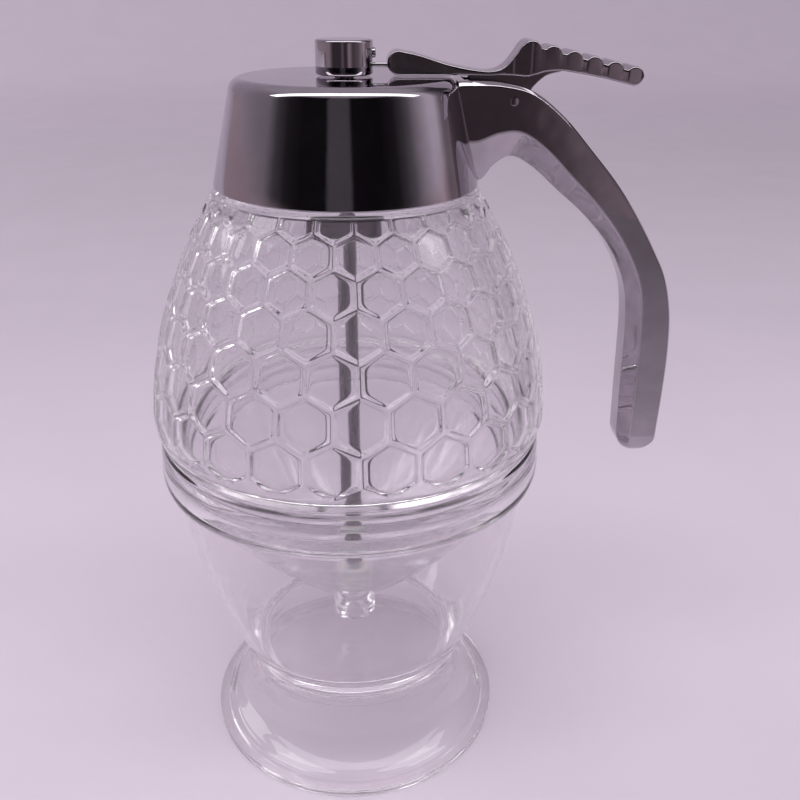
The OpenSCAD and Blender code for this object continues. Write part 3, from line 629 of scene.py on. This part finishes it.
funnel_steps = 48
funnel_heights = [nozzle_top + (spigot_z - nozzle_top) * (1 - math.sin(math.pi / 2 * k / funnel_steps))
                  for k in range(funnel_steps, -1, -1)]
funnel_profile = [[nozzle_bore, nozzle_z], [nozzle_r - 0.5, nozzle_z], [nozzle_r, nozzle_z + 0.5]]
funnel_profile += [[funnel_r(z), z] for z in funnel_heights]
funnel_profile += [[spigot_r, spigot_z + 0.6], [spigot_r, rim_z + 0.03], [ledge_r - 0.3, rim_z + 0.03],
                   [ledge_r, rim_z + 0.3], [shell_r(seam_z), seam_z - 0.01],
                   [shell_r(seam_z) - jar_wall, seam_z - 0.01], [spigot_r - funnel_wall, rim_z - 1],
                   [spigot_r - funnel_wall, spigot_z + 1]]
for k in range(funnel_steps + 1):
    share = math.sin(math.pi / 2 * k / funnel_steps)
    z = spigot_z + (nozzle_top + funnel_wall - spigot_z) * share
    thick = funnel_wall * (1 + 0.35 * k / funnel_steps)
    funnel_profile.append([max(funnel_r(z - 0.3) - thick, funnel_bore), z])
funnel_profile += [[funnel_bore, nozzle_top], [nozzle_bore, nozzle_top - 4]]
funnel = piece("jar_funnel_moulding", *turned(funnel_profile, 192), jar_clear, "jar", "clear_plastic",
               "jar_funnel")
break_edges(funnel, 0.15, 2, 40)

# %% [markdown]
# The upper half of the jar carries the honeycomb, the one feature that everybody sees. Each cell is a
# shallow flat-bottomed dish, and the plastic left between the dishes is the raised ridge. The rows are laid
# like this: a cell's width is its share of the jar's girth, so each row is as high as its girth asks, and
# the rows shrink toward the cap as they do on the real mould. The cells could be pressed in with a
# displacement texture, but a mesh whose edges follow the hexagons stays crisp with few points.

# %% Honeycomb rows
cells_round, cell_rows, cell_depth, squash = 25, 7, 0.8, 0.935
hive_turn = math.radians(6)
cell_turn = 2 * math.pi / cells_round


def next_row(z, share):
    side = shell_r(z) * cell_turn / math.sqrt(3)
    slope = math.hypot(1, shell_r(z + 0.5) - shell_r(z - 0.5))
    return z + share * squash * side / slope


row_mid = [seam_z + 7.3]
for _ in range(cell_rows - 1):
    row_mid.append(next_row(next_row(row_mid[-1], 0.75), 0.75))
row_above = row_mid[1:] + [next_row(next_row(row_mid[-1], 0.75), 0.75)]
row_below = [row_mid[0] - (row_mid[1] - row_mid[0]) * 1.03] + row_mid[:-1]
corner_turn = [0, 0.5, 0.5, 0, -0.5, -0.5]
hive_top = shoulder_z - 1
print("row heights:", [round(z, 1) for z in row_mid])


def corner_height(row, corner):
    """Height of one of a cell's six corners, counted round from the lowest; the shoulder is the limit."""
    reach = [2, 1, 1, 2, 1, 1][corner] / 3
    other = row_below[row] if corner in (0, 1, 5) else row_above[row]
    return min(row_mid[row] + (other - row_mid[row]) * reach, hive_top)


def dish_middle(row):
    return (corner_height(row, 0) + corner_height(row, 3)) / 2


# %% Cell outlines
per_side = 8
around_cell = 6 * per_side


def cell_outline(row):
    """A cell's edge as [share of a turn, height] from its middle, eight points to a side."""
    corners = [[corner_turn[k], corner_height(row, k) - dish_middle(row)] for k in range(6)]
    return [blend_points(corners[k], corners[(k + 1) % 6], s / per_side)
            for k in range(6) for s in range(per_side)]


def softened(outline, reach):
    """The same outline with its corners rounded by averaging each point with its neighbours."""
    count = len(outline)
    weights = [math.exp(-(d / max(reach, 0.01)) ** 2) for d in range(-4, 5)]
    return [[sum(w * outline[(i + d) % count][axis] for w, d in zip(weights, range(-4, 5))) / sum(weights)
             for axis in (0, 1)] for i in range(count)]


def on_shell(turn_share, z, depth):
    a = turn_share * cell_turn + hive_turn
    r = shell_r(z) - depth
    return [r * math.cos(a), r * math.sin(a), z]


def on_dish(middle_turn, off_turn, row, off_z, share):
    """A point between the shell, at a share of 0, and the cell's flat floor, at a share of 1."""
    middle = dish_middle(row)
    lean = math.atan(shell_r(middle - 0.5) - shell_r(middle + 0.5))
    inward = shell_r(middle) * math.cos(lean) - cell_depth
    flat_r = (inward - off_z * math.sin(lean)) / (math.cos(lean) * math.cos(off_turn * cell_turn))
    free_r = shell_r(middle + off_z)
    return on_shell(middle_turn + off_turn, middle + off_z, (free_r - flat_r) * share)


# share of the cell's size, share of its depth, and how far the corners are rounded
dish = [(1.0, 0.0, 0.0), (0.955, 0.0, 0.4), (0.93, 0.09, 0.6), (0.90, 0.34, 0.8), (0.865, 0.70, 1.0),
        (0.835, 0.93, 1.2), (0.80, 1.0, 1.4), (0.72, 1.0, 1.6), (0.45, 1.0, 1.6)]

# %% Honeycomb shell
hive_points, hive_faces, crest_index = [], [], {}


def crest(turn_share, z):
    """A point on the ridge, shared by the cells that meet there."""
    key = (round(turn_share * 1000) % (cells_round * 1000), round(z * 1000))
    if key not in crest_index:
        crest_index[key] = len(hive_points)
        hive_points.append(on_shell(turn_share, z, 0.0))
    return crest_index[key]


for row in range(cell_rows):
    outline = cell_outline(row)
    soft_rings = [softened(outline, reach) if reach else outline for _, _, reach in dish]
    for cell in range(cells_round):
        middle_turn = cell + 0.5 * (row % 2)
        loops = [[crest(middle_turn + t, dish_middle(row) + h) for t, h in outline]]
        for (size, share, _), ring in list(zip(dish, soft_rings))[1:]:
            first = len(hive_points)
            hive_points += [on_dish(middle_turn, t * size, row, h * size, share) for t, h in ring]
            loops.append(list(range(first, first + around_cell)))
        hive_points.append(on_dish(middle_turn, 0, row, 0, 1))
        for outer, inner in zip(loops, loops[1:]):
            for k in range(around_cell):
                n = (k + 1) % around_cell
                hive_faces.append([outer[k], outer[n], inner[n], inner[k]])
        hive_faces += [[loops[-1][k], loops[-1][(k + 1) % around_cell], len(hive_points) - 1]
                       for k in range(around_cell)]
print("cells:", cells_round * cell_rows, "points:", len(hive_points))

# %% [markdown]
# The lowest and the highest row end in a zigzag, and the plain bands of the shell, the screw neck and the
# inside take up its points there. The neck carries a real screw thread of one and a half turns, drawn as a
# ridge that climbs round it and fades in and out at its ends, where the cap's thread first catches.

# %% Bands, neck and inside
steps_round = cells_round * 2 * per_side
# start height, turns, pitch, half width and height of a thread's ridge
neck_ridge, cap_ridge = (143.4, 1.6, 3.0, 0.8, 0.7), (144.6, 1.5, 3.0, 0.8, 0.2)


def zigzag(row, top):
    """The row's lower or upper edge as one ring of crest points, in equal steps of angle."""
    ring = []
    for k in range(steps_round):
        local = (k / (2 * per_side) - 0.5 * (row % 2) + 0.5) % 1 - 0.5
        low, high = (3, 2) if top else (0, 1)
        h = corner_height(row, low) + (corner_height(row, high) - corner_height(row, low)) * abs(local) * 2
        ring.append(crest(k / (2 * per_side), h))
    return ring


def thread_ridge(z, a, start, turns, pitch, half_width, height):
    """How far a screw thread stands out at an angle and height."""
    best = 0.0
    for lap in range(-1, 3):
        climbed = a / (2 * math.pi) + lap
        if 0 <= climbed <= turns:
            off = abs(z - (start + climbed * pitch)) / half_width
            fade = min(1, climbed * 6, (turns - climbed) * 6)
            best = max(best, height * fade * max(0, min(1, 1.6 * (1 - off))))
    return best


def plain_ring(radius, z, threaded=False):
    first = len(hive_points)
    for k in range(steps_round):
        a = k / (2 * per_side) * cell_turn + hive_turn
        r = radius + (thread_ridge(z, a % (2 * math.pi), *neck_ridge) if threaded else 0)
        hive_points.append([r * math.cos(a), r * math.sin(a), z])
    return list(range(first, first + steps_round))


def bridge(rings):
    for low, high in zip(rings, rings[1:]):
        for k in range(steps_round):
            n = (k + 1) % steps_round
            hive_faces.append([low[k], low[n], high[n], high[k]])


seam_ring = plain_ring(shell_r(seam_z), seam_z)
foot_rings = [seam_ring] + [plain_ring(shell_r(z), z) for z in (89.06, 89.5, 90.0)] + [zigzag(0, False)]
bridge(foot_rings)
over_rings = [zigzag(cell_rows - 1, True), plain_ring(shell_r(141.1), 141.1), plain_ring(27.2, 141.55),
              plain_ring(26.6, shoulder_z), plain_ring(23.4, shoulder_z), plain_ring(22.95, 141.9),
              plain_ring(neck_r, 142.3)]
over_rings += [plain_ring(neck_r, 142.5 + 0.25 * k, True) for k in range(33)]
over_rings += [plain_ring(neck_r - 0.1, 150.95), plain_ring(neck_r - 0.3, neck_top),
               plain_ring(neck_bore + 0.3, neck_top), plain_ring(neck_bore, 150.8),
               plain_ring(neck_bore, 141.2), plain_ring(neck_bore + 0.3, 140.4)]
inner_top = shoulder_z - 1.6 - jar_wall
inner_heights = [inner_top + (seam_z - inner_top) * k / 40 for k in range(41)]
over_rings += [plain_ring(shell_r(z) - jar_wall, z) for z in inner_heights] + [seam_ring]
bridge(over_rings)
hive = piece("jar_hive_moulding", hive_points, hive_faces, jar_clear, "jar", "clear_plastic", "jar_hive")
print("honeycomb shell:", len(hive.data.vertices), "points,", len(hive.data.polygons), "faces")

# %% [markdown]
# The cap is a plated cone with a rounded upper edge. Inside it has the matching thread, a chamber over the
# neck and a hole for the rod. The thread stands in the metal of the turned profile, so that nothing crosses
# when the cap is unscrewed.

# %% Cap
cap_r, cap_top_r, cap_z, cap_top, cap_edge = 27.9, 23.5, 142.0, 163.2, 2.8
cone_lean = math.atan((cap_r - cap_top_r) / (cap_top - cap_z - cap_edge))
roof_z, seal_top, chamber_r, thread_r, rod_hole = 161.2, 152.7, 21.6, 24.0, 2.3
rounding = [[cap_top_r - cap_edge * math.cos(cone_lean) + cap_edge * math.cos(a),
             cap_top - cap_edge + cap_edge * math.sin(a)]
            for a in [cone_lean + (math.pi / 2 - cone_lean) * k / 16 for k in range(17)]]
cap_profile = [[thread_r, cap_z], [cap_r - 0.3, cap_z], [cap_r - 0.08, cap_z + 0.08], [cap_r, cap_z + 0.3]]
cap_profile += [blend_points([cap_r, cap_z + 0.3], rounding[0], k / 8) for k in range(1, 8)] + rounding
cap_profile += [[8.0, cap_top], [rod_hole + 0.3, cap_top], [rod_hole, cap_top - 0.3], [rod_hole, roof_z],
                [chamber_r - 0.6, roof_z], [chamber_r, roof_z - 0.6], [chamber_r, seal_top],
                [thread_r, seal_top]]
cap_profile += [[thread_r, 151.0 - 0.25 * k] for k in range(32)]


def cap_thread(radius, z, a):
    inside = abs(radius - thread_r) < 0.01 and 142.8 < z < 151.2
    return -thread_ridge(z, a, *cap_ridge) if inside else 0


cap = piece("cap_cone", *turned(cap_profile, 224, cap_thread), cap_chrome, "cap", "chrome", "cap_shell")
break_edges(cap, 0.12, 2, 50)

# %% [markdown]
# The handle is a casting of its own: it leaves the cap flush with the top, bends down in a long curve and
# ends in a bevelled tip. Its section is an octagon with a narrow bright strip along the outside, flat sides
# down to a crease, and long bevels to a narrow inner edge. It is lofted from stations along the curve, each
# of which gives the outer and the inner edge, and every corner of the octagon is rounded as plated
# castings are.

# %% Handle stations
edges = [[22.6, 0.6, 23.6, 20.6], [25, 0.5, 28.2, 20.5], [31.5, 0.8, 31, 17.3], [38, 2.5, 34.6, 15.6],
         [44.5, 7.2, 39.2, 17.8], [51, 14, 44.8, 22.6], [57.5, 21.3, 50.6, 27.5],
         [62.8, 28.6, 56, 33.2], [67, 35.4, 59.8, 39], [70.4, 41.8, 62.2, 44.8],
         [72.6, 49.6, 63.3, 51.4], [73.6, 59, 63.8, 60], [73.8, 70, 64.2, 70.8], [73.6, 82.0, 64.7, 82.0]]
stations = smooth_line(edges, 9)
tip = [[73.5, 83.2, 65.0, 83.2, 0.45], [73.0, 84.4, 65.5, 84.4, 1.2], [72.3, 85.4, 66.2, 85.4, 1.9],
       [71.4, 86.2, 67.0, 86.2, 2.6]]


def handle_section(station, position):
    """The octagon at a station, each corner drawn as a short arc of four points."""
    ox, od, nx, nd = station[:4]
    taper = station[4] if len(station) > 4 else 0.0
    crease = 0.57 + 0.15 * position
    half = [5.2 - taper * 0.95, 6 - taper, 2.8 - taper * 0.25]
    corners = [(0, -half[0]), (0.045, -half[1]), (crease, -half[1]), (1, -half[2]),
               (1, half[2]), (crease, half[1]), (0.045, half[1]), (0, half[0])]
    length = math.hypot(nx - ox, nd - od)
    ring = []
    for i, (u, v) in enumerate(corners):
        here = Vector((u * length, v))
        before = Vector((corners[i - 1][0] * length, corners[i - 1][1]))
        after = Vector((corners[(i + 1) % 8][0] * length, corners[(i + 1) % 8][1]))
        cut = 0.22 if i in (0, 1, 6, 7) else 0.42
        a = here + (before - here).normalized() * min(cut, (before - here).length * 0.4)
        b = here + (after - here).normalized() * min(cut, (after - here).length * 0.4)
        for t in (0.0, 0.33, 0.67, 1.0):
            p = a.lerp(here, t).lerp(here.lerp(b, t), t)
            share = p.x / length
            ring.append([ox + (nx - ox) * share, p.y, cap_top - (od + (nd - od) * share)])
    return ring


handle_rings = [handle_section(s, i / (len(stations) + 3)) for i, s in enumerate(stations + tip)]
handle = piece("handle_casting", *lofted(handle_rings, True), handle_chrome, "cap", "chrome", "handle")
cut_out(handle, box_tool((24.2, -2.5, 155.6), (39.6, 2.5, 180)))
break_edges(handle, 0.18, 2, 50)

# %% [markdown]
# The lever is one small casting too. From its round nose over the knob it runs back as a slim arm, rises in
# a hook and ends in the thumb pad with six rounded teeth. Its side is drawn first, as a top line and an
# underside, and its width at each place gives the third direction. A web under it stands in the handle's
# slot and turns on the pivot pin.

# %% Lever outline
nose_x, nose_z, nose_r = 10.9, 165.85, 2.35
tooth_r, first_tooth, last_tooth, hook_x = 1.9, (37.3, 168.3), (58.6, 163.5), 35.1
pivot_x, pivot_z, boss_r, web_half = 34.0, 158.9, 3, 2.3
arm_line = smooth_line([[nose_x, 4.98], [15, 4.15], [21, 2.4], [27, 1.3], [30, 1.2], [32.4, 2.2],
                        [34.4, 4.5], [35.6, 6.2]], 8)
under_line = smooth_line([[nose_x, 0.3], [18, 0.3], [26, 0.3], [33, 0.3], [36.4, 0.1], [38.4, 0.5],
                          [40.4, 1.05], [43.3, 1.25], [46, 0.95], [52, -0.1], [58.6, -1.6]], 8)


def height_on(line, x):
    for (x0, z0), (x1, z1) in zip(line, line[1:]):
        if x0 <= x <= x1:
            return cap_top + z0 + (z1 - z0) * (x - x0) / max(x1 - x0, 1e-9)
    return cap_top + (line[0][1] if x < line[0][0] else line[-1][1])


def round_at(x, middle, radius):
    return math.sqrt(max(radius ** 2 - (x - middle) ** 2, 0.0))


def lever_top(x):
    if x <= nose_x:
        return nose_z + round_at(x, nose_x, nose_r)
    teeth = [blend_points(first_tooth, last_tooth, k / 5) for k in range(6)]
    humps = [z + round_at(x, cx, tooth_r) for cx, z in teeth if abs(x - cx) < tooth_r]
    if x < hook_x:
        return height_on(arm_line, x)
    share = min(max((x - first_tooth[0]) / (last_tooth[0] - first_tooth[0]), 0), 1)
    valley = first_tooth[1] + (last_tooth[1] - first_tooth[1]) * share + 0.95
    ramp_up = height_on(arm_line, min(x, 35.6)) if x < 36 else 0
    return max(humps + ([valley] if 37 < x < 59 else []) + [ramp_up])


def lever_under(x):
    if x <= nose_x:
        return nose_z - round_at(x, nose_x, nose_r)
    if x > last_tooth[0]:
        return last_tooth[1] - round_at(x, last_tooth[0], tooth_r)
    return height_on(under_line, x)


def lever_half_width(x):
    share = min(max((x - 33.5) / 4.5, 0), 1)
    return 3.0 + share * share * (3 - 2 * share)


# %% Lever casting
lever_xs = [nose_x - nose_r * math.cos(math.pi / 2 * k / 12) for k in range(1, 13)]
lever_xs += [nose_x + (hook_x - nose_x) * k / 60 for k in range(1, 61)]
lever_xs += [hook_x + (last_tooth[0] - hook_x) * k / 120 for k in range(1, 121)]
lever_xs += [last_tooth[0] + tooth_r * math.sin(math.pi / 2 * k / 10) for k in range(1, 10)]
lever_rings = []
for x in lever_xs:
    top, low, half = lever_top(x), lever_under(x), lever_half_width(x)
    cut = min(0.45, (top - low) * 0.35)
    arc = [(0.0, 1.0), (0.12, 0.5), (0.35, 0.2), (0.65, 0.05), (1.0, 0.0)]
    corners = [(-1, top, -1, arc), (1, top, -1, arc[::-1]), (1, low, 1, arc), (-1, low, 1, arc[::-1])]
    lever_rings.append([[x, side * (half - cut * u), edge + inward * cut * v]
                        for side, edge, inward, line in corners for u, v in line])
lever = piece("lever_casting", *lofted(lever_rings), handle_chrome, "lever", "chrome", "lever")
lever.modifiers.new("weighted", "WEIGHTED_NORMAL")
apply_all(lever)

# %% Lever web
web_side = [[24.8, 164.0], [25.4, 162.6], [31.2, 161.2]]
web_side += [[pivot_x + boss_r * math.cos(a), pivot_z + boss_r * math.sin(a)]
             for a in [math.radians(155 + 205 * k / 20) for k in range(21)]]
web_side += smooth_line([[37.6, 160.0], [38.2, 161.0], [39.8, 162.6], [41.4, 163.6], [44.0, 164.2]], 4)
web_side += [[44.0, 164.8]]
count = len(web_side)
web_points = [[x, y, z] for y in (-web_half, web_half) for x, z in web_side]
web_faces = [[k, (k + 1) % count, count + (k + 1) % count, count + k] for k in range(count)]
web_faces += [list(range(count))[::-1], [count + k for k in range(count)]]
web = piece("lever_web", web_points, web_faces, handle_chrome, "lever", "chrome", "lever")
break_edges(web, 0.25, 3, 50)
print("lever length", round(lever_xs[-1] - lever_xs[0], 1), "mm")

# %% [markdown]
# The knob is turned and plated, with a fine rounded rim. It is pressed on the rod and held by a small set
# screw whose end shows at the side, and a short slot takes the lever's pin.

# %% Knob
knob_z, knob_top, knob_r = 163.5, 170.1, 5.8
knob_profile = [[0, knob_z], [knob_r - 0.3, knob_z], [knob_r, knob_z + 0.3]]
knob_profile += [[knob_r, knob_z + 0.3 + 5.7 * k / 4] for k in range(1, 4)]
knob_profile += [[knob_r - 0.5 + 0.5 * math.cos(a), knob_top - 0.5 + 0.5 * math.sin(a)]
                 for a in [math.pi / 2 * k / 6 for k in range(7)]]
knob_profile += [[3.2, knob_top], [0, knob_top]]
knob = piece("knob_turned", *turned(knob_profile, 128), cap_chrome, "plunger", "chrome", "knob")
cut_out(knob, box_tool((2.6, -0.8, 164.2), (7, 0.8, 166.1)))
break_edges(knob, 0.1, 2, 45)

# %% Small turned parts
def small_part(name, profile, finish, body, slot, node, origin=None, around=64, width=0.08):
    points, faces = turned(profile, around)
    if origin:
        points = along_x(points, origin)
    made = piece(name, points, faces, finish, body, slot, node)
    break_edges(made, width, 2, 40)
    return made


def pin_profile(radius, low, high, dome=0.12):
    half = [[0, 0], [radius * 0.6, dome * 0.2], [radius - 0.1, dome], [radius, dome + 0.15]]
    return [[r, low + d] for r, d in half] + [[r, high - d] for r, d in half[::-1]]


rod_r, rod_low, rod_top = 2.0, 37.3, 168.7
small_part("rod_drawn", pin_profile(rod_r, rod_low, rod_top), rod_steel, "plunger", "steel", "rod")
small_part("knob_set_screw", pin_profile(1.0, 0, 4.4), pin_steel, "plunger", "steel", "knob_screw",
           origin=(rod_r, 0, 167.592))
pin_r, pin_half = 1.25, 6.05
pin_points, pin_faces = turned(pin_profile(pin_r, -pin_half, pin_half, 0.1), 64)
pin_points = [[pivot_x + x, -z, pivot_z + y] for x, y, z in pin_points]
pivot = piece("pivot_pin_turned", pin_points, pin_faces, handle_chrome, "cap", "steel", "pivot_pin")
break_edges(pivot, 0.03, 2, 40)
small_part("lever_lift_pin", pin_profile(0.5, 0, 10.9), pin_steel, "lever", "steel", "lift_pin",
           origin=(3.0, 0, 165.3))
collar_r, collar_low, collar_top = 5.8, 135.5, 137.5
collar_profile = [[rod_r, collar_low], [collar_r - 0.2, collar_low], [collar_r, collar_low + 0.2],
                  [collar_r, collar_top - 0.2], [collar_r - 0.2, collar_top], [rod_r, collar_top]]
small_part("spring_collar_turned", collar_profile, pin_steel, "plunger", "steel", "spring_collar")
tube_bore, tube_r, tube_low = 6.8, 8.0, 133.2
tube_profile = [[tube_bore, tube_low], [tube_r, tube_low], [tube_r, roof_z], [tube_bore, roof_z]]
small_part("spring_housing_tube", tube_profile, housing_chrome, "cap", "chrome", "spring_housing",
           around=96)
bush_bore, bush_low, bush_top = 2.05, 132.2, 135.2
bush_profile = [[bush_bore, bush_low], [tube_r - 0.2, bush_low], [tube_r, bush_low + 0.2],
                [tube_r, tube_low], [tube_bore, tube_low], [tube_bore, bush_top], [bush_bore, bush_top]]
small_part("guide_bush_moulded", bush_profile, bush_plastic, "cap", "white_plastic", "guide_bush",
           around=96)
seal_bore, seal_r = 20.5, 22.5
seal_profile = [[seal_bore, neck_top], [seal_r, neck_top], [seal_r, seal_top], [seal_bore, seal_top]]
small_part("cap_seal_ring", seal_profile, seal_rubber, "seal", "seal_rubber", "cap_seal", around=128)

# %% Stopper
stopper_profile = [[0, 34.3], [2.3, 34.3], [2.63, 34.36], [4.2, 36.93], [4.2, 41.3], [4.05, 41.8],
                   [3.6, 42.2], [3.2, 42.3], [2.05, 42.3], [2.05, 37.3], [0, 37.3]]
small_part("stopper_moulded", stopper_profile, stopper_silicone, "plunger", "silicone", "stopper",
           width=0.12)

# %% [markdown]
# Hidden in the housing sits the return spring, one wire of seven turns with closed ends. It hangs on the
# cap at its top and rides down with the rod's collar at its foot. Here it is one fixed mesh at rest, on no
# body.

# %% Return spring
wire_turns, wire_r, coil_r = 7, 0.4, 4.6


def wire_height(t):
    low, high, turns, ends, end_pitch = 138.0, 160.7, wire_turns, 0.75, 1.3
    pitch_mm = (high - low - 2 * ends * end_pitch) / (turns - 2 * ends)
    if t < ends:
        return low + t * end_pitch
    if t > turns - ends:
        return high - (turns - t) * end_pitch
    return low + ends * end_pitch + (t - ends) * pitch_mm


def wire_ring(t, sides=12):
    """The wire's round section after a number of turns."""
    a = 2 * math.pi * t
    ring = []
    for k in range(sides):
        b = 2 * math.pi * k / sides
        r = coil_r + wire_r * math.cos(b)
        ring.append([r * math.cos(a), r * math.sin(a), wire_height(t) + wire_r * math.sin(b)])
    return ring


wire_rings = [wire_ring(wire_turns * i / (wire_turns * 32)) for i in range(wire_turns * 32 + 1)]
spring = mesh_object("return_spring", *lofted(wire_rings))
spring.data.materials.append(pin_steel)
spring.data.shade_smooth()
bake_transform(spring)
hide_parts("spring")
print("spring wire rings:", len(wire_rings))

# %% [markdown]
# One node stays as the CAD step made it, because it is right as it is: the two handle screws, which the
# cap hides. They only get the steel of the lift pin.

# %% Screws that stay
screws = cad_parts["handle_screws"]
screws.data.materials.clear()
screws.data.materials.append(pin_steel)
print("handle screws keep their solids")
